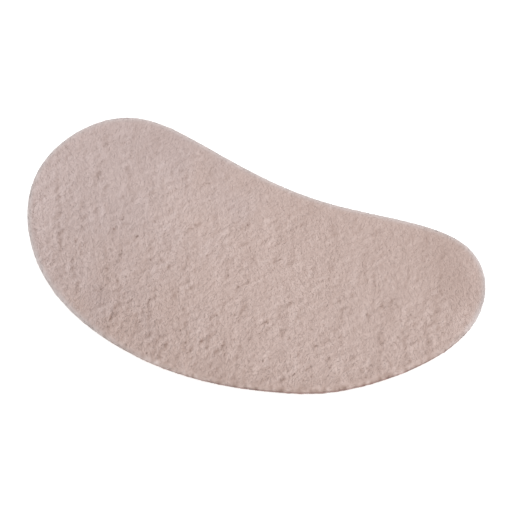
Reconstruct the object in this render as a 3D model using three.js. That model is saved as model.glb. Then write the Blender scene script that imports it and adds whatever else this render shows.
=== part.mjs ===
// A moleskin pad: a kidney-shaped patch of thick brushed cotton on a layer of adhesive.
// Sizes are in millimetres, +Z up. The pad lies flat, nap up, with its adhesive face at z = 0.
// +X runs along the pad to its small end, and +Y across it to the hollow side.
import * as THREE from 'three';

// Driving sizes
const PAD_LENGTH = 100; // from the tip of the large end to the tip of the small end
const PAD_WIDTH = 50; // from the top of the large end to the full side
const NAP_THICKNESS = 1.35; // brushed cotton, from its flat back to the highest nap
const BACKING_THICKNESS = 0.4; // adhesive layer
const BACKING_INSET = 0.2; // how far the adhesive layer stops inside the cut rim
const BOND_GAP = 0.05; // between the back of the cotton and the adhesive layer
const RIM_ROLL = 0.9; // width of the band in which the face rounds down to the cut rim
const DENT_DEPTH = 0.2; // deepest of the face's broad dents

// Fineness of the faceted solids
const OUTLINE_SIDES = 96;

// The outline is a smooth curve inside a cage of corners. The corners go anticlockwise round
// the pad, as shares of PAD_LENGTH and PAD_WIDTH from the middle of the pad.
const OUTLINE_CAGE = [
  { along: 0.455, across: 0.6 }, // small end, shoulder
  { along: 0.09, across: 0.375 }, // hollow side
  { along: -0.23, across: 0.505 }, // large end, shoulder
  { along: -0.4, across: 0.515 }, // large end, top
  { along: -0.55, across: 0.09 }, // large end, tip
  { along: -0.4, across: -0.415 }, // large end, underside
  { along: -0.075, across: -0.54 }, // full side, lowest
  { along: 0.175, across: -0.42 }, // full side, rising
  { along: 0.32, across: -0.3 }, // full side, into the small end
  { along: 0.545, across: 0.14 }, // small end, tip
];

// Section of the cotton's rim, from its back up to the face. The inset is a share of RIM_ROLL
// and the height a share of the cotton's thickness there.
const RIM_SECTION = [
  { inset: 0.2, height: 0 },
  { inset: 0.05, height: 0.16 },
  { inset: 0, height: 0.4 },
  { inset: 0.08, height: 0.64 },
  { inset: 0.28, height: 0.84 },
  { inset: 0.6, height: 0.96 },
  { inset: 1, height: 1 },
];

// Rings of the face, as shares of the way from the rolled rim to the middle of the pad.
const FACE_RINGS = [0.1, 0.24, 0.4, 0.58, 0.78];

// Broad dents of the face. Places are shares of PAD_LENGTH and PAD_WIDTH from the middle,
// the depth is a share of DENT_DEPTH, and the reach a share of PAD_WIDTH.
const DENTS = [
  { along: -0.17, across: -0.34, depth: 1, reach: 0.2 }, // full side of the large end
  { along: -0.04, across: -0.38, depth: 0.5, reach: 0.14 }, // middle of the full side
  { along: 0.41, across: 0.3, depth: 0.9, reach: 0.16 }, // small end, by the shoulder
  { along: -0.3, across: 0.38, depth: 0.6, reach: 0.14 }, // large end, by the shoulder
  { along: 0.22, across: -0.02, depth: 0.45, reach: 0.22 }, // middle of the small half
];

// A closed uniform cubic B-spline through a cage of corners.
class CageCurve extends THREE.Curve {
  constructor(corners) {
    super();
    this.corners = corners;
  }

  getPoint(share, target = new THREE.Vector2()) {
    const count = this.corners.length;
    const place = (share % 1) * count;
    const first = Math.floor(place);
    const u = place - first;
    const weights = [
      (1 - u) ** 3 / 6,
      (3 * u ** 3 - 6 * u ** 2 + 4) / 6,
      (-3 * u ** 3 + 3 * u ** 2 + 3 * u + 1) / 6,
      u ** 3 / 6,
    ];
    target.set(0, 0);
    weights.forEach((weight, step) => {
      target.addScaledVector(this.corners[(first + step) % count], weight);
    });
    return target;
  }
}

// The pad's outline: evenly spaced points, anticlockwise, whose box is exactly the pad's
// length and width with its middle at the origin.
function padOutline() {
  const corners = OUTLINE_CAGE.map(
    ({ along, across }) => new THREE.Vector2(along * PAD_LENGTH, across * PAD_WIDTH),
  );
  const points = new CageCurve(corners).getSpacedPoints(OUTLINE_SIDES).slice(0, -1);
  const box = new THREE.Box2().setFromPoints(points);
  const middle = box.getCenter(new THREE.Vector2());
  const stretch = new THREE.Vector2(PAD_LENGTH, PAD_WIDTH).divide(box.getSize(new THREE.Vector2()));
  return points.map((point) => point.clone().sub(middle).multiply(stretch));
}

// An outline moved inwards by a distance, square to the rim.
function insetOutline(outline, distance) {
  const count = outline.length;
  return outline.map((point, i) => {
    const before = outline[(i + count - 1) % count];
    const after = outline[(i + 1) % count];
    const run = after.clone().sub(before).normalize();
    return new THREE.Vector2(point.x - run.y * distance, point.y + run.x * distance);
  });
}

// Thickness of the cotton at a place, with the broad dents taken off.
function napThickness(x, y) {
  const dents = DENTS.map(({ along, across, depth, reach }) => {
    const distance = Math.hypot(x - along * PAD_LENGTH, y - across * PAD_WIDTH);
    return depth * Math.exp(-((distance / (reach * PAD_WIDTH)) ** 2));
  });
  return NAP_THICKNESS - DENT_DEPTH * dents.reduce((sum, dent) => sum + dent, 0);
}

// A closed body over a stack of rings with equal counts of points, from its flat back to its
// face. The back and the face each close on a point above or below the pad's middle.
function ringBody(rings, backMiddle, faceMiddle) {
  const sides = rings[0].length;
  const vertices = [...rings.flat(), backMiddle, faceMiddle];
  const back = vertices.length - 2;
  const face = vertices.length - 1;
  const topRing = (rings.length - 1) * sides;
  const triangles = [];
  for (let side = 0; side < sides; side += 1) {
    const next = (side + 1) % sides;
    triangles.push(back, next, side);
    triangles.push(face, topRing + side, topRing + next);
    for (let ring = 0; ring < rings.length - 1; ring += 1) {
      const low = ring * sides;
      const high = low + sides;
      triangles.push(low + side, low + next, high + next);
      triangles.push(low + side, high + next, high + side);
    }
  }
  const geometry = new THREE.BufferGeometry().setFromPoints(vertices);
  geometry.setIndex(triangles);
  geometry.computeVertexNormals();
  return geometry;
}

// Brushed cotton face: flat back, bulged cut rim, rolled top edge and a gently dented face.
function nappedFace(outline) {
  const at = ({ x, y }, height) => new THREE.Vector3(x, y, height * napThickness(x, y));
  const rim = RIM_SECTION.map(({ inset, height }) =>
    insetOutline(outline, inset * RIM_ROLL).map((point) => at(point, height)),
  );
  const rolled = insetOutline(outline, RIM_ROLL);
  const face = FACE_RINGS.map((share) =>
    rolled.map((point) => at(point.clone().multiplyScalar(1 - share), 1)),
  );
  const middle = new THREE.Vector2(0, 0);
  const geometry = ringBody([...rim, ...face], at(middle, 0), at(middle, 1));
  const cotton = new THREE.MeshStandardMaterial({ color: '#c4aea7', roughness: 0.95, metalness: 0 });
  const mesh = new THREE.Mesh(geometry, cotton);
  mesh.name = 'napped_face';
  mesh.position.z = BACKING_THICKNESS + BOND_GAP;
  return mesh;
}

// Adhesive layer: a flat sheet under the cotton, just inside its cut rim.
function adhesiveBacking(outline) {
  const shape = new THREE.Shape(insetOutline(outline, BACKING_INSET));
  const geometry = new THREE.ExtrudeGeometry(shape, { depth: BACKING_THICKNESS, bevelEnabled: false });
  const adhesive = new THREE.MeshStandardMaterial({ color: '#b8927f', roughness: 0.55, metalness: 0 });
  const mesh = new THREE.Mesh(geometry, adhesive);
  mesh.name = 'adhesive_backing';
  return mesh;
}

const outline = padOutline();
const group = new THREE.Group();
group.name = 'moleskin_pad';
group.add(nappedFace(outline), adhesiveBacking(outline));

export default group;
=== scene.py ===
"""Looks of a moleskin pad: brushed cotton with its nap, its cut rim and the adhesive layer below.

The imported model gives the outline, the heights and the places. Sizes here are in millimetres
unless a comment says otherwise, and meshes are turned to metres when they are made. The nap is
brushed across the pad, towards +Y.
"""

import math

import bpy
import numpy as np
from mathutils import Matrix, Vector
from mathutils.bvhtree import BVHTree


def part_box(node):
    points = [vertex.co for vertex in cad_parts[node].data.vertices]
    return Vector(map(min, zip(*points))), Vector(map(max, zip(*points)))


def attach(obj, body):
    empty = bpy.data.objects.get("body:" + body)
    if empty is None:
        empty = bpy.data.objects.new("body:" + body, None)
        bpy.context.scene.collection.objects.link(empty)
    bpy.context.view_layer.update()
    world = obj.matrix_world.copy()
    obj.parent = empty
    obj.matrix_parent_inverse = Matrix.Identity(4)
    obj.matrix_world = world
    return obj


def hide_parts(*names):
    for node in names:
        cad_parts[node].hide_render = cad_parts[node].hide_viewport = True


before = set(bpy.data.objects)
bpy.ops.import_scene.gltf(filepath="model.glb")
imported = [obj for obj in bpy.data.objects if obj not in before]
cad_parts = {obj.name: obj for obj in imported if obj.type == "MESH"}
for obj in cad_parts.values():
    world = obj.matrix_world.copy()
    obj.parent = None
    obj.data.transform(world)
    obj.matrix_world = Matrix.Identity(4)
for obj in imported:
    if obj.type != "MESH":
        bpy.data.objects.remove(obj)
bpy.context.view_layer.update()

MM = 0.001  # metres in a millimetre
SEED = 41

# Camera, at the photograph's angle to the lying pad
CAMERA_AZIMUTH = 21.85  # degrees
CAMERA_ELEVATION = 75.0  # degrees above the floor
CAMERA_LENS = 120.0
CAMERA_SENSOR = 36.0
CAMERA_DISTANCE = 366.2
CAMERA_TARGET = (1.13, 5.065, 0.914)

# Light
KEY_PLACE = (0.10, 0.24, 1.0)  # metres
KEY_SIZE = 1.4  # metres
KEY_POWER = 8.05  # watts
SKY_STRENGTH = 0.75
FLOOR_SIDE = 3000.0
FLOOR_DEPTH = 0.2  # how far the floor lies under the adhesive
FLOOR_WHITE = 0.9
FLOOR_GLOW = 0.45

# Mesh fineness
RING_POINTS = 1200  # round the rim
FACE_CELLS = (400, 200)  # of the cotton's face, along and across the pad
LAYER_CELLS = (110, 55)  # of the adhesive layer
BROAD_CELL = 2.0  # spacing of the readings of the solid's face
RIM_CELL = 0.5  # spacing of the readings of the distance to the rim
MAP_CELL = 0.08  # spacing of the nap maps' samples
MAP_MARGIN = 8.0  # how far the nap maps reach past the pad
FLAT_WITHIN = 0.01  # vertices this close to the lowest belong to the flat underside
RING_DIGITS = 4  # decimals by which two vertices of the outline are told apart

# The cut rim. Its section goes from the face down to the back: the inset is a share of RIM_ROLL
# and the height a share of the cotton's thickness.
RIM_ROLL = 0.9
RIM_SECTION = (
    {"inset": 0.78, "height": 0.990},
    {"inset": 0.58, "height": 0.960},
    {"inset": 0.40, "height": 0.910},
    {"inset": 0.24, "height": 0.835},
    {"inset": 0.12, "height": 0.735},
    {"inset": 0.04, "height": 0.610},
    {"inset": 0.00, "height": 0.470},
    {"inset": 0.01, "height": 0.320},
    {"inset": 0.05, "height": 0.180},
    {"inset": 0.11, "height": 0.070},
    {"inset": 0.20, "height": 0.000},
)
RIM_FUZZ = 0.04  # how far the fibres stand out round the cut cotton, up to the solid's outline
RIM_STRAY = 0.05  # how far the cut strays from a smooth line
BOND_GAP = 0.005  # between the cotton and the adhesive layer
LAYER_DIMPLE = 0.01  # depth of the adhesive's dimples

# The nap hangs over most of the cut. It is brushed away from the rim that faces BARE_FACING, so
# the cut shows there between tufts. The hems are shares of the cotton's thickness.
BARE_FACING = 302.0  # degrees from +X
BARE_SPREAD = 52.0  # degrees to each side in which the rim turns from bare to covered
NAP_HEM = 0.40  # how low the nap hangs
BARE_HEM = 0.90  # how low it hangs where the rim is bare
HEM_BLEND = 0.12
BARE_RIM = 0.28  # how far the nap starts inside the bare rim
TUFT_BAND = 1.2  # width of the band of tufts inside the bare rim
TUFT_FALL = 1.0  # width of the band in which fibres may fall outwards
TUFT_SHARE = 0.5  # share of the fibres there that do

# The nap's mottle: random waves of all lengths, weaker the finer they are, and weaker along the
# lay than across it
MOTTLE_SIZE = 2.4  # length from which longer waves are equally strong
MOTTLE_FINEST = 0.21  # blur of the finest
MOTTLE_ALONG = 0.15  # strength of the waves along the lay, as a share of those across it

# Blur of the other random maps across and along the lay
MAP_BLURS = {
    "pits": (0.09, 0.16),
    "tufts": (0.24, 0.34),
    "swell": (1.8, 2.4),
    "lay_turn": (1.6, 2.4),
    "hue_drift": (2.2, 2.6),
    "roughness": (0.6, 0.9),
    "weave_drift": (8.0, 8.0),
}

# The cloth is a twill. Its diagonal ribs show faintly through the nap, and the nap's pits gather
# in the furrows between them.
TWILL_RUN = 49.3  # direction of the ribs, in degrees from +X
TWILL_PITCH = 1.71
TWILL_DRIFT = 0.3  # pitches by which the ribs stray from straight
PIT_LEVEL = 1.6  # deviations of the pits' map above which a pit starts
PIT_GATHER = 0.35  # deviations by which it starts sooner in a furrow and later on a rib

# Heights of the nap's relief, for one deviation of each map
MOTTLE_HEIGHT = 0.006
TWILL_HEIGHT = 0.006
PIT_DEPTH = 0.02
TUFT_HEIGHT = 0.035
SWELL_HEIGHT = 0.03

# Fibres of the nap. The count is that of each piece, the lean is the height of a fibre's highest
# point over the nap, and the spread is how many degrees it turns from the lay around it.
NAP_FIBRES = (
    {"name": "nap_fibres", "pieces": 2, "count": 45000, "segments": 1, "length": (0.22, 0.60),
     "radius": 0.030, "lean": (0.02, 0.09), "spread": 16.0},
    {"name": "nap_strands", "pieces": 2, "count": 17000, "segments": 2, "length": (0.60, 1.40),
     "radius": 0.0235, "lean": (0.02, 0.09), "spread": 18.0},
)
EVEN_STEPS = (0.7548776662, 0.5698402910)  # 1/p and 1/p**2 for p = 1.32472, the plastic number
SCATTER = 0.08  # how far a fibre lies from its even place
FIBRE_CURL = 14.0  # degrees that it turns from segment to segment
FIBRE_SPREAD = 0.3  # share by which its radius is more or less than its kind's
FIBRE_TAPER = 0.25  # share of the radius that it loses from segment to segment
FIBRE_CORNERS = (90, 210, 330)  # degrees round it
LEAST_LENGTH = 1e-6  # shortest vector that is scaled to a direction
LAY_MIDDLE = 96.5  # degrees from +X, in the middle of the pad
LAY_ENDS = 109.0  # at its two ends
LAY_WANDER = 9.0  # degrees
TIP_MARGIN = 0.04  # how far the nap's tips stay inside the cut
RIM_FIBRES = 18000  # short fibres on the cut rim
RIM_FIBRE_LENGTH = (0.10, 0.28)
RIM_FIBRE_RADIUS = 0.018
RIM_FIBRE_HEIGHTS = (0.04, 0.97)  # shares of the cotton's thickness between which they grow
RIM_FIBRE_SCATTER = 0.2  # how far one grows from its point of the outline, along the rim
RIM_FIBRE_REACH = {"along": (-0.9, 0.9), "out": (0.2, 0.9), "rise": (-0.7, 0.5)}  # of its length
ROOT_DEPTH = 0.02  # how deep its root lies

# Colours, linear. A tone is how many times the nap's colour is multiplied by the ratio, so light
# nap is paler as well. The fibres have colours for evenly spaced tones of each hue.
NAP_COLOUR = (0.510, 0.401, 0.372)
TONE_RATIO = (1.086, 1.106, 1.118)
TONES = 13
TONE_STEP = 0.5
HUES = {
    "grey": (0.996, 1.016, 1.036),
    "tan": (1.003, 0.989, 0.966),
    # painted sheen: the rim lighter and greyer, as where it catches light
    "painted_sheen": (1.036, 1.168, 1.230),
    # the cut: partly the cut cotton's own colour, partly painted shade on the cut wall
    "cut": (0.720, 0.620, 0.600),
}
GREY, TAN, PAINTED_SHEEN, CUT_AND_SHADE = range(len(HUES))
ADHESIVE_COLOUR = (0.470, 0.300, 0.225)
EDGE_SHADE_COLOUR = (0.240, 0.150, 0.120)  # of the adhesive's edge, darker as painted shade under the cotton's rim
THREAD_COLOUR = (0.75, 0.62, 0.52)  # of the cloth's threads, faint in the adhesive

# How much each map moves the nap's tone
TONE_OF_MOTTLE = 0.54
TONE_OF_TWILL = 0.28
# painted shade: how much darker the nap is in its pits, as shade in these hollows
PIT_PAINTED_SHADE = 2.0
TONE_OF_FIBRE = 1.2
FIBRE_TAIL = 2  # degrees of freedom of the fibres' own tones; the fewer, the more fibres stand out
TONE_OF_TUFTS = 1.3
TONE_SHADOW = 0.18  # how much darker a tone of 1 or -1 becomes, so that the nap has more dark spots
TUFT_SHADE = 1.2  # how much darker the tufted band is: painted shade along the bare rim
SIDE_SHADE = 0.9  # painted shade: how much darker the nap is along the bare rim
SIDE_BAND = 3.0  # width of that darker band
PAINTED_SHEEN_BAND = 0.8  # width of the band of painted sheen, lighter and greyer, along the rest of the rim

# The nap is coarser towards the full side of the pad, smoother along the covered rim, and
# patchy all over
COARSE_FULL = 1.28  # times as coarse, at the full side
COARSE_HOLLOW = 0.56  # and at the hollow side
COARSE_PATCHES = 0.45  # share by which patches are coarser or smoother
COARSE_LEAST = 0.2  # of the smoothest patch
SMOOTH_BAND = 2.0  # width of the smoother band along the covered rim
SMOOTH_SHARE = 0.65  # share by which it is smoother

# Broad patches of darker and lighter nap: partly the nap's own uneven tone, partly painted light and
# shade. Places are shares of the pad's length and width from its middle, the lift is in tones, and the
# reach is a share of the width.
PATCHES = (
    {"along": -0.15, "across": 0.20, "lift": 0.35, "reach": 0.20},
    {"along": 0.05, "across": 0.06, "lift": 0.30, "reach": 0.26},
    {"along": -0.28, "across": 0.02, "lift": -0.25, "reach": 0.16},
    {"along": -0.26, "across": -0.26, "lift": -0.38, "reach": 0.26},
    {"along": -0.40, "across": -0.14, "lift": -0.22, "reach": 0.18},
    # These three darken the bare rim: painted shade.
    {"along": -0.25, "across": -0.38, "lift": -0.80, "reach": 0.14},
    {"along": -0.12, "across": -0.38, "lift": -0.80, "reach": 0.15},
    {"along": 0.04, "across": -0.47, "lift": -0.50, "reach": 0.16},
    {"along": 0.40, "across": 0.38, "lift": -0.95, "reach": 0.12},
    {"along": 0.44, "across": 0.28, "lift": -0.70, "reach": 0.10},
    {"along": 0.35, "across": 0.45, "lift": -0.50, "reach": 0.10},
    {"along": 0.12, "across": 0.38, "lift": -0.30, "reach": 0.20},
    {"along": -0.30, "across": 0.42, "lift": -0.60, "reach": 0.16},
    {"along": -0.14, "across": 0.42, "lift": -0.40, "reach": 0.16},
    {"along": 0.20, "across": -0.22, "lift": 0.30, "reach": 0.16},
    # These four light the rims of the two ends: painted light.
    {"along": -0.48, "across": -0.06, "lift": 0.40, "reach": 0.08},
    {"along": 0.46, "across": 0.42, "lift": 0.95, "reach": 0.08},
    {"along": 0.51, "across": 0.12, "lift": 2.60, "reach": 0.08},
    {"along": 0.46, "across": -0.13, "lift": 1.90, "reach": 0.11},
)
HUE_MIDDLE = -0.18  # share of the length where grey nap turns to tan, at the middle of the width
HUE_SLANT = 0.41  # how far that border moves along the pad for each step across it
HUE_BLEND = 0.12  # share of the length over which it turns
HUE_DRIFT = 0.4  # how far that border wanders, in blends

# Finishes: the numbers of each shader's own sockets
FINISHES = {
    "cotton": {
        "Roughness": 0.95,
        "Specular IOR Level": 0.2,
        "Sheen Weight": 0.2,
        "Sheen Roughness": 0.5,
    },
    "fibre": {
        "Roughness": 0.9,
        "Specular IOR Level": 0.2,
        "Sheen Weight": 0.15,
        "Sheen Roughness": 0.5,
    },
    "adhesive": {"Specular IOR Level": 0.4},
    "card": {"Roughness": 0.9, "Specular IOR Level": 0.2, "Emission Strength": FLOOR_GLOW},
}

# Texture of the finishes. The scales are cells of noise in a metre, and the strengths are the
# shares by which a colour is darker or lighter.
NOISE_DETAIL = 3.0
NOISE_RANGE = (0.3, 0.7)  # between which most of the noise lies
NAP_SPECKLES = {"scale": 3500.0, "strength": 0.06}
NAP_GRAIN = {"scale": 5000.0, "height": 0.05}
ADHESIVE_BLOTCHES = {"scale": 350.0, "strength": 0.10}
ADHESIVE_SATIN = {"scale": 900.0, "roughness": (0.35, 0.60)}
CARD_MOTTLE = {"scale": 40.0, "strength": 0.01}
THREAD_PITCH = 0.5  # of the cloth's threads in the adhesive
THREAD_HEIGHT = 0.04
THREAD_SHARE = 0.25  # how much of their colour shows
THREAD_BEND = 1.5  # distortion of the wave texture that draws them
WAVE_RATE = 20  # radians that the wave texture turns in one unit, at scale 1

rng = np.random.default_rng(SEED)


# Outline, from the frame

def resampled(ring, count):
    """More points on the smooth closed curve through evenly spaced ones, by its Fourier series."""
    series = np.fft.fft(ring[:, 0] + 1j * ring[:, 1])
    half = len(ring) // 2
    longer = np.zeros(count, complex)
    longer[:half] = series[:half]
    longer[-half:] = series[-half:]
    curve = np.fft.ifft(longer) * count / len(ring)
    return np.stack([curve.real, curve.imag], axis=1)


def outward(ring):
    """Unit normals of an anticlockwise ring, in its plane."""
    run = np.roll(ring, -1, axis=0) - np.roll(ring, 1, axis=0)
    normal = np.stack([run[:, 1], -run[:, 0]], axis=1)
    return normal / np.linalg.norm(normal, axis=1)[:, None]


def backing_ring():
    """The outline of the adhesive layer, anticlockwise, from its lowest vertices."""
    points = np.array([v.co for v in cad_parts["adhesive_backing"].data.vertices], float) / MM
    lowest = points[points[:, 2] < points[:, 2].min() + FLAT_WITHIN, :2]
    ring = np.unique(np.round(lowest, RING_DIGITS), axis=0)
    ring = ring[np.argsort(np.arctan2(ring[:, 1], ring[:, 0]))]
    return resampled(ring, RING_POINTS)


nap_low, nap_high = (np.array(corner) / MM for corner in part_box("napped_face"))
back_low, back_high = (np.array(corner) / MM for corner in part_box("adhesive_backing"))
PAD_LENGTH, PAD_WIDTH = (nap_high - nap_low)[:2]
BACKING_RING = backing_ring()
OUTLINE = BACKING_RING + (nap_high[0] - back_high[0] - RIM_FUZZ) * outward(BACKING_RING)
RIM_NORMAL = outward(OUTLINE)
MAP_CORNER = nap_low[:2] - MAP_MARGIN
MAP_SIZE = nap_high[:2] + MAP_MARGIN - MAP_CORNER


def ring_radius(angle, ring=OUTLINE):
    """How far a ring is from the pad's middle in each direction."""
    angles = np.arctan2(ring[:, 1], ring[:, 0])
    return np.interp(angle, angles, np.linalg.norm(ring, axis=1), period=2 * math.pi)


# Grids and maps over the pad

def grid_value(grid, u, v):
    """Bilinear reading of a grid at places given in its cells."""
    i = np.clip(np.floor(u).astype(int), 0, grid.shape[0] - 2)
    j = np.clip(np.floor(v).astype(int), 0, grid.shape[1] - 2)
    s = np.clip(u - i, 0, 1)
    t = np.clip(v - j, 0, 1)
    low = grid[i, j] * (1 - s) + grid[i + 1, j] * s
    high = grid[i, j + 1] * (1 - s) + grid[i + 1, j + 1] * s
    return low * (1 - t) + high * t


def cells_at(x, y, cell):
    """Places in the cells of a grid that starts at the maps' corner."""
    return (x - MAP_CORNER[0]) / cell, (y - MAP_CORNER[1]) / cell


def rim_grids():
    """How far inside the rim each place of a grid is, and how bare the rim nearest to it is."""
    bare_direction = np.array([math.cos(math.radians(BARE_FACING)), math.sin(math.radians(BARE_FACING))])
    least = math.cos(math.radians(BARE_SPREAD))
    bare = np.clip((RIM_NORMAL @ bare_direction - least) / (1 - least), 0, 1)
    cells = np.ceil(MAP_SIZE / RIM_CELL).astype(int) + 1
    distance = np.zeros(cells)
    bareness = np.zeros(cells)
    for i, j in np.ndindex(*cells):
        to_rim = OUTLINE - MAP_CORNER - RIM_CELL * np.array([i, j])
        nearest = np.argmin(np.sum(to_rim**2, axis=1))
        distance[i, j] = to_rim[nearest] @ RIM_NORMAL[nearest]
        bareness[i, j] = bare[nearest]
    return distance, bareness


RIM_DISTANCE, BARENESS = rim_grids()


def rim_distance(x, y):
    """How far points are inside the rim."""
    return grid_value(RIM_DISTANCE, *cells_at(x, y, RIM_CELL))


def bare_share(x, y):
    """How bare the rim nearest to points is, from 0 to 1."""
    return grid_value(BARENESS, *cells_at(x, y, RIM_CELL))


def near_rim(x, y, width):
    """1 at the rim, falling smoothly to 0 inside it."""
    return np.exp(-((np.maximum(rim_distance(x, y), 0) / width) ** 2))


def tuft_band(x, y):
    """Share of the tufted band along the bare rim."""
    return bare_share(x, y) * near_rim(x, y, TUFT_BAND)


def covered_band(x, y, width):
    """Share of a band along the covered rim."""
    return (1 - bare_share(x, y)) * near_rim(x, y, width)


def lay(x):
    """Direction that the nap is brushed in, in degrees from +X."""
    return LAY_MIDDLE + (LAY_ENDS - LAY_MIDDLE) * (2 * x / PAD_LENGTH) ** 2


MAP_CELLS = np.ceil(MAP_SIZE / MAP_CELL).astype(int)
WAVES_ACROSS = np.fft.fftfreq(MAP_CELLS[0], MAP_CELL)[:, None]
WAVES_ALONG = np.fft.rfftfreq(MAP_CELLS[1], MAP_CELL)[None, :]


def random_map(strength):
    """Random values, filtered by a strength for each wave, with mean 0 and deviation 1."""
    values = np.fft.irfft2(np.fft.rfft2(rng.standard_normal(MAP_CELLS)) * strength, s=MAP_CELLS)
    return (values - values.mean()) / values.std()


def blur(across, along):
    """Strengths of the waves that blur a map across and along the lay."""
    return np.exp(-2 * math.pi**2 * ((WAVES_ACROSS * across) ** 2 + (WAVES_ALONG * along) ** 2))


def mottle():
    """Strengths of the waves of the nap's mottle."""
    waves = np.maximum(np.hypot(WAVES_ACROSS, WAVES_ALONG), 1 / MAP_SIZE.max())
    turned = MOTTLE_ALONG + (1 - MOTTLE_ALONG) * (WAVES_ACROSS / waves) ** 2
    return turned / np.hypot(1, MOTTLE_SIZE * waves) * blur(MOTTLE_FINEST, MOTTLE_FINEST)


maps = {name: random_map(blur(*sizes)) for name, sizes in MAP_BLURS.items()}
maps["mottle"] = random_map(mottle())


def at(name, x, y):
    """A map's value at points. The map is slanted so that its grain follows the lay."""
    slanted = x - y * np.tan(np.radians(90 - lay(x)))
    return grid_value(maps[name], *cells_at(slanted, y, MAP_CELL))


# Shape of the nap

def solid_face():
    """Heights of the solid's napped face on a coarse grid, read from above."""
    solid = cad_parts["napped_face"].data
    tree = BVHTree.FromPolygons(
        [v.co for v in solid.vertices],
        [tuple(p.vertices) for p in solid.polygons],
    )
    cells = np.ceil(MAP_SIZE / BROAD_CELL).astype(int) + 1
    heights = np.full(cells, nap_high[2])
    top = (nap_high[2] + 1) * MM
    for i, j in np.ndindex(*cells):
        x, y = MAP_CORNER + BROAD_CELL * np.array([i, j])
        if rim_distance(x, y) > RIM_ROLL:
            heights[i, j] = tree.ray_cast(Vector((x * MM, y * MM, top)), Vector((0, 0, -1)))[0].z / MM
    return heights


FACE = solid_face()


def face_height(x, y):
    """Height of the solid's face, with its facets smoothed and without the nap's relief."""
    u, v = cells_at(x, y, BROAD_CELL)
    s = u - np.floor(u)
    t = v - np.floor(v)
    return grid_value(FACE, np.floor(u) + s * s * (3 - 2 * s), np.floor(v) + t * t * (3 - 2 * t))


def twill(x, y):
    """The cloth's ribs: 1 on a rib and -1 in the furrow beside it."""
    run = math.radians(TWILL_RUN)
    pitches = (y * math.cos(run) - x * math.sin(run)) / TWILL_PITCH
    return np.cos(2 * math.pi * (pitches + TWILL_DRIFT * at("weave_drift", x, y)))


def pits(x, y):
    """How deep the nap is pitted at points, in deviations of the pits' map."""
    return np.maximum(at("pits", x, y) - PIT_LEVEL - PIT_GATHER * twill(x, y), 0)


def side_coarseness(y):
    """How coarse the nap is, from the hollow side of the pad to the full side."""
    return np.interp(y / PAD_WIDTH, (-0.5, 0.5), (COARSE_FULL, COARSE_HOLLOW))


def coarseness(x, y):
    """How strong the nap's relief and mottle are at points."""
    strength = side_coarseness(y) * np.maximum(1 + COARSE_PATCHES * at("roughness", x, y), COARSE_LEAST)
    return strength * (1 - SMOOTH_SHARE * covered_band(x, y, SMOOTH_BAND))


def relief(x, y):
    """The nap's own height over the solid's face."""
    fine = MOTTLE_HEIGHT * at("mottle", x, y) + TWILL_HEIGHT * twill(x, y) - PIT_DEPTH * pits(x, y)
    broad = SWELL_HEIGHT * at("swell", x, y) + TUFT_HEIGHT * tuft_band(x, y) * at("tufts", x, y)
    return coarseness(x, y) * fine + broad


def nap_height(x, y):
    """Height of the nap, rolled down towards the rim."""
    widest = min(range(len(RIM_SECTION)), key=lambda i: RIM_SECTION[i]["inset"])
    roll = RIM_SECTION[widest::-1]
    insets = [row["inset"] for row in roll] + [1]
    heights = [row["height"] for row in roll] + [1]
    share = np.interp(rim_distance(x, y) / RIM_ROLL, insets, heights)
    return nap_low[2] + (face_height(x, y) + relief(x, y) - nap_low[2]) * share


def rim_inset(height):
    """How far inside the outline the cut is at a share of the cotton's thickness."""
    rows = RIM_SECTION[::-1]
    return RIM_ROLL * np.interp(height, [row["height"] for row in rows], [row["inset"] for row in rows])


def cut_share(height, x, y):
    """How much of the cut, and not the nap over it, shows at a share of the rim's height."""
    hem = NAP_HEM + (BARE_HEM - NAP_HEM) * bare_share(x, y)
    return np.clip((hem - height) / HEM_BLEND, 0, 1)


# Colour of the nap

def nap_tone_and_painted_light(x, y):
    """Tone of the nap, without that of its single fibres; it holds painted shade and painted light."""
    tone = TONE_OF_MOTTLE * at("mottle", x, y) + TONE_OF_TWILL * twill(x, y)
    # The pits are darker: painted shade in the nap's hollows.
    tone = coarseness(x, y) * (tone - PIT_PAINTED_SHADE * pits(x, y))
    tone -= TONE_SHADOW * tone**2
    # The tufted band is darker as painted shade, and its tufts lighter and darker at random.
    tone += tuft_band(x, y) * (TONE_OF_TUFTS * at("tufts", x, y) - TUFT_SHADE)
    # Painted shade along the bare rim.
    tone -= SIDE_SHADE * bare_share(x, y) * near_rim(x, y, SIDE_BAND)
    for patch in PATCHES:
        distance = np.hypot(x - patch["along"] * PAD_LENGTH, y - patch["across"] * PAD_WIDTH)
        tone += patch["lift"] * np.exp(-((distance / (patch["reach"] * PAD_WIDTH)) ** 2))
    return tone


def tan_share(x, y):
    """Share of tan in the nap's colour, the rest being grey."""
    past = (x - HUE_SLANT * y) / PAD_LENGTH - HUE_MIDDLE
    return 1 / (1 + np.exp(-2 * (past / HUE_BLEND + HUE_DRIFT * at("hue_drift", x, y))))


def blended(first, second, share):
    """Colours between two colours or rows of colours, by a share for each row."""
    return np.asarray(first) * (1 - share[:, None]) + np.asarray(second) * share[:, None]


def cotton_colour(x, y, cut):
    """Colour of the cotton under its fibres, where cut is the share of its cut that shows. The cut's hue
    is partly its own colour, partly painted shade.
    """
    tint = blended(HUES["grey"], HUES["tan"], tan_share(x, y))
    # Painted sheen: lighter and greyer along the covered rim.
    tint = blended(tint, HUES["painted_sheen"], covered_band(x, y, PAINTED_SHEEN_BAND))
    # The cut's hue: partly its own colour, partly painted shade.
    tint = blended(tint, HUES["cut"], cut)
    return np.array(NAP_COLOUR) * tint * np.array(TONE_RATIO) ** nap_tone_and_painted_light(x, y)[:, None]


# Meshes

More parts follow.
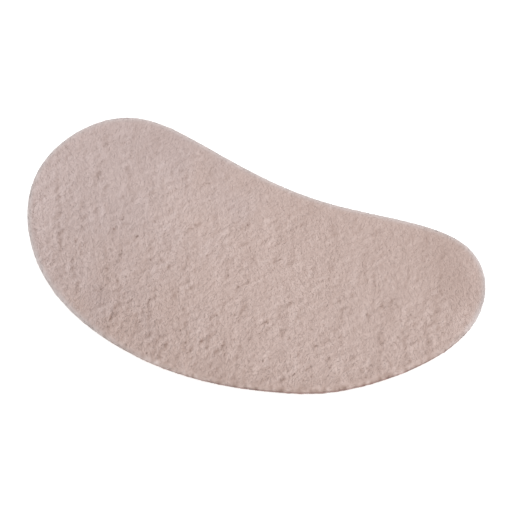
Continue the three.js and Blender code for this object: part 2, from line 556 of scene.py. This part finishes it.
def mesh_object(name, points, faces):
    """A smooth-shaded mesh object from points in millimetres."""
    mesh = bpy.data.meshes.new(name)
    mesh.from_pydata((points * MM).tolist(), [], faces)
    mesh.polygons.foreach_set("use_smooth", np.ones(len(mesh.polygons), bool))
    mesh.update()
    obj = bpy.data.objects.new(name, mesh)
    bpy.context.scene.collection.objects.link(obj)
    return obj


def point_colours(obj, colours):
    """Keeps a colour for each vertex, for the material to read."""
    kept = obj.data.attributes.new("tint", "FLOAT_VECTOR", "POINT")
    kept.data.foreach_set("vector", colours.astype(np.float32).ravel())


def grid_on_pad(cells, ring):
    """Points of a square grid spread over the pad so that its edge lies on the ring."""
    along, across = cells
    a, b = np.meshgrid(np.linspace(-1, 1, along + 1), np.linspace(-1, 1, across + 1), indexing="ij")
    wide = np.abs(a) > np.abs(b)
    reach = np.where(wide, a, b)
    other = np.where(wide, b, a)
    share = np.divide(other, reach, out=np.zeros_like(other), where=reach != 0)
    turn = np.where(wide, share * math.pi / 4, math.pi / 2 - share * math.pi / 4)
    half_length, half_width = np.ptp(ring, axis=0) / 2
    dx = reach * np.cos(turn)
    dy = reach * np.sin(turn)
    angle = np.arctan2(dy * half_width, dx * half_length)
    radius = np.hypot(dx, dy) * ring_radius(angle, ring)
    return (radius * np.cos(angle)).ravel(), (radius * np.sin(angle)).ravel()


def grid_index(cells):
    """Point indices of a grid."""
    return np.arange((cells[0] + 1) * (cells[1] + 1)).reshape(cells[0] + 1, cells[1] + 1)


def grid_edge(cells):
    """Indices of the grid's edge points, anticlockwise."""
    index = grid_index(cells)
    sides = (index[-1, :-1], index[::-1, -1][:-1], index[0, ::-1][:-1], index[:-1, 0])
    return np.concatenate(sides)


def grid_faces(cells):
    """Quads of a grid, facing up."""
    index = grid_index(cells)
    corners = (index[:-1, :-1], index[1:, :-1], index[1:, 1:], index[:-1, 1:])
    return np.stack(corners, axis=-1).reshape(-1, 4)


def ring_faces(upper, lower):
    """Quads between two rings of point indices, facing out of an anticlockwise ring."""
    return np.stack([upper, lower, np.roll(lower, -1), np.roll(upper, -1)], axis=1)


def napped_cotton():
    """The cotton: a napped face, the rolled cut rim and a flat back."""
    x, y = grid_on_pad(FACE_CELLS, OUTLINE - RIM_ROLL * RIM_NORMAL)
    points = [np.stack([x, y, face_height(x, y) + relief(x, y)], axis=1)]
    colours = [cotton_colour(x, y, np.zeros(len(x)))]
    faces = grid_faces(FACE_CELLS).tolist()
    upper = grid_edge(FACE_CELLS)
    angle = np.arctan2(y[upper], x[upper])
    rim = ring_radius(angle)[:, None] * np.stack([np.cos(angle), np.sin(angle)], axis=1)
    normal = outward(rim)
    count = len(x)
    for row in RIM_SECTION:
        ring = rim - row["inset"] * RIM_ROLL * normal
        x, y = ring.T
        level = nap_low[2] + (face_height(x, y) + relief(x, y) - nap_low[2]) * row["height"]
        stray = RIM_STRAY * at("tufts", x + level, y) * (1 - row["inset"])
        points.append(np.column_stack([ring + stray[:, None] * normal, level]))
        colours.append(cotton_colour(x, y, cut_share(row["height"], x, y)))
        lower = count + np.arange(len(rim))
        faces += ring_faces(upper, lower).tolist()
        count += len(rim)
        upper = lower
    points.append(np.array([[0, 0, nap_low[2]]]))
    colours.append(np.array([NAP_COLOUR]))
    faces += np.stack([np.roll(upper, -1), upper, np.full(len(upper), count)], axis=1).tolist()
    obj = mesh_object("napped_cotton", np.concatenate(points), faces)
    point_colours(obj, np.concatenate(colours))
    return obj


def adhesive_layer():
    """The adhesive layer: a thin sheet, with faint dimples below and painted shade along its edge."""
    x, y = grid_on_pad(LAYER_CELLS, BACKING_RING)
    edge = grid_edge(LAYER_CELLS)
    top = np.stack([x, y, np.full_like(x, nap_low[2] - BOND_GAP)], axis=1)
    low = np.stack([x, y, back_low[2] + LAYER_DIMPLE * np.clip(at("tufts", x, y), 0, 2)], axis=1)
    quads = grid_faces(LAYER_CELLS)
    faces = np.concatenate([quads, quads[:, ::-1] + len(x), ring_faces(edge, edge + len(x))])
    obj = mesh_object("adhesive_layer", np.concatenate([top, low]), faces.tolist())
    # Painted shade: the layer's edge, under the cotton's rim, is darker.
    edge_shade = np.zeros(len(x))
    edge_shade[edge] = 1
    point_colours(obj, np.tile(blended(ADHESIVE_COLOUR, EDGE_SHADE_COLOUR, edge_shade), (2, 1)))
    return obj


# Fibres

def kept_inside(x, y):
    """Points moved in to the fibres' margin where they are past it."""
    angle = np.arctan2(y, x)
    radius = np.minimum(np.hypot(x, y), ring_radius(angle) - TIP_MARGIN)
    return radius * np.cos(angle), radius * np.sin(angle)


def fibre_mesh(name, lines, radius, slots):
    """Tapered fibres along lines of points, in one mesh, with a material slot for each segment."""
    count = len(radius)
    segments = len(slots)
    sides = len(FIBRE_CORNERS)
    run = lines[1] - lines[0]
    run = run / np.linalg.norm(run, axis=1)[:, None]
    side = np.cross(run, (0, 0, 1.0))
    side = side / np.maximum(np.linalg.norm(side, axis=1), LEAST_LENGTH)[:, None]
    over = np.cross(side, run)
    corners = []
    for step in range(segments):
        thickness = radius * (1 - FIBRE_TAPER * step)
        for turn in np.radians(FIBRE_CORNERS):
            reach = math.cos(turn) * side + math.sin(turn) * over
            corners.append(lines[step] + reach * thickness[:, None])
    points = np.stack([*corners, lines[-1]], axis=1).reshape(-1, 3)
    first = (sides * segments + 1) * np.arange(count)[:, None]
    faces = []
    face_slots = []
    for step, slot in enumerate(slots):
        low = sides * step
        high = low + sides
        for k in range(sides):
            after = (k + 1) % sides
            upper = [high + after, high + k] if step < segments - 1 else [high]
            faces += (first + np.array([low + k, low + after, *upper])).tolist()
            face_slots.append(slot)
    faces += (first + np.arange(sides)[::-1]).tolist()
    face_slots.append(slots[0])
    obj = mesh_object(name, points, faces)
    obj.data.polygons.foreach_set("material_index", np.concatenate(face_slots).astype(np.int32))
    for made in fibre_materials:
        obj.data.materials.append(made)
    return obj


def fibre_slots(x, y, hue):
    """The material slots of fibres at points: their hue's, then their tone's."""
    tone = nap_tone_and_painted_light(x, y) + TONE_OF_FIBRE * coarseness(x, y) * rng.standard_t(FIBRE_TAIL, len(x))
    step = np.round(tone / TONE_STEP + (TONES - 1) / 2)
    return np.clip(step, 0, TONES - 1).astype(int) + TONES * hue


def drawn(share):
    """For each share, whether a draw falls under it."""
    return rng.uniform(0, 1, len(share)) < share


def nap_hue(x, y):
    """Each fibre's hue: grey or tan, and the lighter, greyer hue of painted sheen along the covered rim.
    """
    hue = np.where(drawn(tan_share(x, y)), TAN, GREY)
    return np.where(drawn(covered_band(x, y, PAINTED_SHEEN_BAND)), PAINTED_SHEEN, hue)


def scattered(count):
    """Places over the pad's box, evenly spread by steps round it, and each moved a little."""
    share = (rng.uniform(0, 1, 2) + np.arange(count)[:, None] * EVEN_STEPS) % 1
    places = nap_low[:2] + share * (nap_high - nap_low)[:2] + rng.normal(0, SCATTER, (count, 2))
    return places.T


def nap_fibres(name, kind):
    """Fibres that lie along the nap."""
    x, y = scattered(2 * kind["count"])
    start = TIP_MARGIN + BARE_RIM * bare_share(x, y) * np.clip(1 - at("tufts", x, y), 0, 2)
    inside = rim_distance(x, y) > start
    x = x[inside][:kind["count"]]
    y = y[inside][:kind["count"]]
    count = len(x)
    length = rng.uniform(*kind["length"], count)
    lean = rng.uniform(*kind["lean"], count)
    radius = kind["radius"] * side_coarseness(y) * rng.uniform(1 - FIBRE_SPREAD, 1 + FIBRE_SPREAD, count)
    heading = lay(x) + LAY_WANDER * at("lay_turn", x, y) + kind["spread"] * rng.standard_normal(count)
    heading += 180 * drawn(TUFT_SHARE * bare_share(x, y) * (rim_distance(x, y) < TUFT_FALL))
    curl = rng.normal(0, FIBRE_CURL, count)
    hue = nap_hue(x, y)
    lines = [np.stack([x, y, nap_height(x, y) - 2 * radius], axis=1)]
    slots = []
    for step in range(1, kind["segments"] + 1):
        turned = np.radians(heading + curl * step)
        x, y = kept_inside(
            x + np.cos(turned) * length / kind["segments"],
            y + np.sin(turned) * length / kind["segments"],
        )
        lift = lean * (1 if step == 1 else rng.uniform(0, 1, count))
        lines.append(np.stack([x, y, nap_height(x, y) + lift], axis=1))
        middle = (lines[-1] + lines[-2]) / 2
        slots.append(fibre_slots(middle[:, 0], middle[:, 1], hue))
    return fibre_mesh(name, lines, radius, slots)


def rim_fibres(name):
    """Short fibres standing out of the cut rim."""
    place = rng.integers(0, len(OUTLINE), RIM_FIBRES)
    normal = RIM_NORMAL[place]
    tangent = np.stack([-normal[:, 1], normal[:, 0]], axis=1)
    height = rng.uniform(*RIM_FIBRE_HEIGHTS, RIM_FIBRES)
    inset = rim_inset(height)
    scatter = rng.uniform(-RIM_FIBRE_SCATTER, RIM_FIBRE_SCATTER, RIM_FIBRES)
    foot = OUTLINE[place] - inset[:, None] * normal + scatter[:, None] * tangent
    x, y = foot.T
    level = nap_low[2] + height * (face_height(x, y) - nap_low[2])
    root = np.column_stack([foot - ROOT_DEPTH * normal, level])
    length = rng.uniform(*RIM_FIBRE_LENGTH, RIM_FIBRES)
    along = length * rng.uniform(*RIM_FIBRE_REACH["along"], RIM_FIBRES)
    out = np.minimum(length * rng.uniform(*RIM_FIBRE_REACH["out"], RIM_FIBRES), inset + RIM_FUZZ)
    rise = length * rng.uniform(*RIM_FIBRE_REACH["rise"], RIM_FIBRES)
    tip = root + np.column_stack([out[:, None] * normal + along[:, None] * tangent, rise])
    tip[:, 2] = np.maximum(tip[:, 2], nap_low[2])
    radius = RIM_FIBRE_RADIUS * rng.uniform(1 - FIBRE_SPREAD, 1 + FIBRE_SPREAD, RIM_FIBRES)
    # Fibres low on the cut take the cut's hue, partly painted shade.
    hue = np.where(drawn(cut_share(height, x, y)), CUT_AND_SHADE, nap_hue(x, y))
    return fibre_mesh(name, [root, tip], radius, [fibre_slots(x, y, hue)])


# Materials

def principled(name, finish):
    """A material and its shader, with the numbers of a finish and no colour yet."""
    made = bpy.data.materials.new(name)
    made.use_nodes = True
    shader = made.node_tree.nodes["Principled BSDF"]
    for socket, value in FINISHES[finish].items():
        shader.inputs[socket].default_value = value
    return made, shader


def add_node(made, kind, **settings):
    """A new node with its settings."""
    node = made.node_tree.nodes.new(kind)
    for name, value in settings.items():
        setattr(node, name, value)
    return node


def noise(made, scale):
    """Noise over the object's own coordinates."""
    place = add_node(made, "ShaderNodeTexCoord")
    node = add_node(made, "ShaderNodeTexNoise")
    node.inputs["Scale"].default_value = scale
    node.inputs["Detail"].default_value = NOISE_DETAIL
    made.node_tree.links.new(place.outputs["Object"], node.inputs["Vector"])
    return node.outputs["Fac"]


def weave(made, pitch):
    """Crossing threads a pitch apart, as they show through a thin layer, from 0 to 1."""
    place = add_node(made, "ShaderNodeTexCoord")
    crossing = add_node(made, "ShaderNodeMath", operation="MULTIPLY")
    for direction, thread in zip(("X", "Y"), crossing.inputs):
        wave = add_node(made, "ShaderNodeTexWave", bands_direction=direction)
        wave.inputs["Scale"].default_value = 2 * math.pi / (WAVE_RATE * pitch * MM)
        wave.inputs["Distortion"].default_value = THREAD_BEND
        made.node_tree.links.new(place.outputs["Object"], wave.inputs["Vector"])
        made.node_tree.links.new(wave.outputs["Fac"], thread)
    return crossing.outputs[0]


def mapped(made, value, source, target):
    """A value moved from one range to another."""
    node = add_node(made, "ShaderNodeMapRange")
    for side, ends in (("From", source), ("To", target)):
        node.inputs[f"{side} Min"].default_value = ends[0]
        node.inputs[f"{side} Max"].default_value = ends[1]
    made.node_tree.links.new(value, node.inputs["Value"])
    return node.outputs["Result"]


def mixed(made, share, first, second, blend="MIX"):
    """Two colours mixed by a share. Each of the three is a value or a socket."""
    node = add_node(made, "ShaderNodeMix", data_type="RGBA", blend_type=blend)
    colours = [socket for socket in node.inputs if socket.type == "RGBA"]
    for socket, value in ((node.inputs["Factor"], share), (colours[0], first), (colours[1], second)):
        if isinstance(value, bpy.types.NodeSocket):
            made.node_tree.links.new(value, socket)
        else:
            socket.default_value = (*value, 1) if isinstance(value, tuple) else value
    return next(socket for socket in node.outputs if socket.type == "RGBA")


def bumped(made, shader, height, distance):
    """Bump on the shader's normal, where a height of 1 stands a distance out."""
    node = add_node(made, "ShaderNodeBump")
    node.inputs["Distance"].default_value = distance * MM
    made.node_tree.links.new(height, node.inputs["Height"])
    made.node_tree.links.new(node.outputs["Normal"], shader.inputs["Normal"])


def speckled(made, scale, strength):
    """The colour kept for each vertex, speckled by noise."""
    kept = add_node(made, "ShaderNodeAttribute", attribute_name="tint").outputs["Color"]
    dark = (1 - strength,) * 3
    light = (1 + strength,) * 3
    speckle = mixed(made, mapped(made, noise(made, scale), NOISE_RANGE, (0, 1)), dark, light)
    return mixed(made, 1.0, kept, speckle, "MULTIPLY")


def fibre_material(hue, step):
    """One tone of one hue, for fibres too fine to show more than one colour."""
    made, shader = principled(f"fibre_{hue}_{step + 1}", "fibre")
    tone = TONE_STEP * (step - (TONES - 1) / 2)
    colour = [part * tint * ratio**tone for part, tint, ratio in zip(NAP_COLOUR, HUES[hue], TONE_RATIO)]
    shader.inputs["Base Color"].default_value = (*colour, 1)
    return made


def cotton_material():
    """Brushed cotton under its fibres."""
    made, shader = principled("brushed_cotton", "cotton")
    made.node_tree.links.new(speckled(made, **NAP_SPECKLES), shader.inputs["Base Color"])
    bumped(made, shader, noise(made, NAP_GRAIN["scale"]), NAP_GRAIN["height"])
    return made


def adhesive_material():
    """Adhesive: warm, satin, slightly uneven, with the cloth's threads faint in it."""
    made, shader = principled("adhesive", "adhesive")
    link = made.node_tree.links.new
    threads = weave(made, THREAD_PITCH)
    faint = mapped(made, threads, (0, 1), (0, THREAD_SHARE))
    colour = mixed(made, faint, speckled(made, **ADHESIVE_BLOTCHES), THREAD_COLOUR)
    satin = noise(made, ADHESIVE_SATIN["scale"])
    link(colour, shader.inputs["Base Color"])
    link(mapped(made, satin, NOISE_RANGE, ADHESIVE_SATIN["roughness"]), shader.inputs["Roughness"])
    bumped(made, shader, threads, THREAD_HEIGHT)
    return made


def floor_material():
    """White card, faintly mottled."""
    made, shader = principled("white_card", "card")
    white = (FLOOR_WHITE,) * 3
    soft = (FLOOR_WHITE * (1 - CARD_MOTTLE["strength"]),) * 3
    mottled = mixed(made, noise(made, CARD_MOTTLE["scale"]), white, soft)
    made.node_tree.links.new(mottled, shader.inputs["Base Color"])
    shader.inputs["Emission Color"].default_value = (1, 1, 1, 1)
    return made


fibre_materials = [fibre_material(hue, step) for hue in HUES for step in range(TONES)]


# Pieces

cotton = napped_cotton()
cotton.data.materials.append(cotton_material())
layer = adhesive_layer()
layer.data.materials.append(adhesive_material())
nap = [nap_fibres(f"{kind['name']}_{i + 1}", kind) for kind in NAP_FIBRES for i in range(kind["pieces"])]
nap.append(rim_fibres("rim_fibres"))

for piece in (cotton, layer, *nap):
    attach(piece, "root")
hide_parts("napped_face")
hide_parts("adhesive_backing")


# Floor, light and camera

def linked(name, data, place, back):
    """An object that looks against a direction."""
    obj = bpy.data.objects.new(name, data)
    obj.location = place
    obj.rotation_euler = (-back).to_track_quat("-Z", "Y").to_euler()
    bpy.context.scene.collection.objects.link(obj)
    return obj


half = FLOOR_SIDE / 2
corners = [(x, y, -FLOOR_DEPTH) for x, y in ((-half, -half), (half, -half), (half, half), (-half, half))]
floor = mesh_object("floor", np.array(corners), [(0, 1, 2, 3)])
floor.data.materials.append(floor_material())

key = bpy.data.lights.new("key", "AREA")
key.shape = "DISK"
key.size = KEY_SIZE
key.energy = KEY_POWER
linked("key", key, KEY_PLACE, Vector(KEY_PLACE))

world = bpy.data.worlds.new("studio")
world.use_nodes = True
world.node_tree.nodes["Background"].inputs["Color"].default_value = (1, 1, 1, 1)
world.node_tree.nodes["Background"].inputs["Strength"].default_value = SKY_STRENGTH
bpy.context.scene.world = world
bpy.context.scene.view_settings.view_transform = "Standard"

azimuth = math.radians(CAMERA_AZIMUTH)
elevation = math.radians(CAMERA_ELEVATION)
reach = math.cos(elevation)
back = Vector((math.sin(azimuth) * reach, -math.cos(azimuth) * reach, math.sin(elevation)))
lens = bpy.data.cameras.new("camera")
lens.lens = CAMERA_LENS
lens.sensor_width = CAMERA_SENSOR
camera_place = (Vector(CAMERA_TARGET) + back * CAMERA_DISTANCE) * MM
bpy.context.scene.camera = linked("camera", lens, camera_place, back)
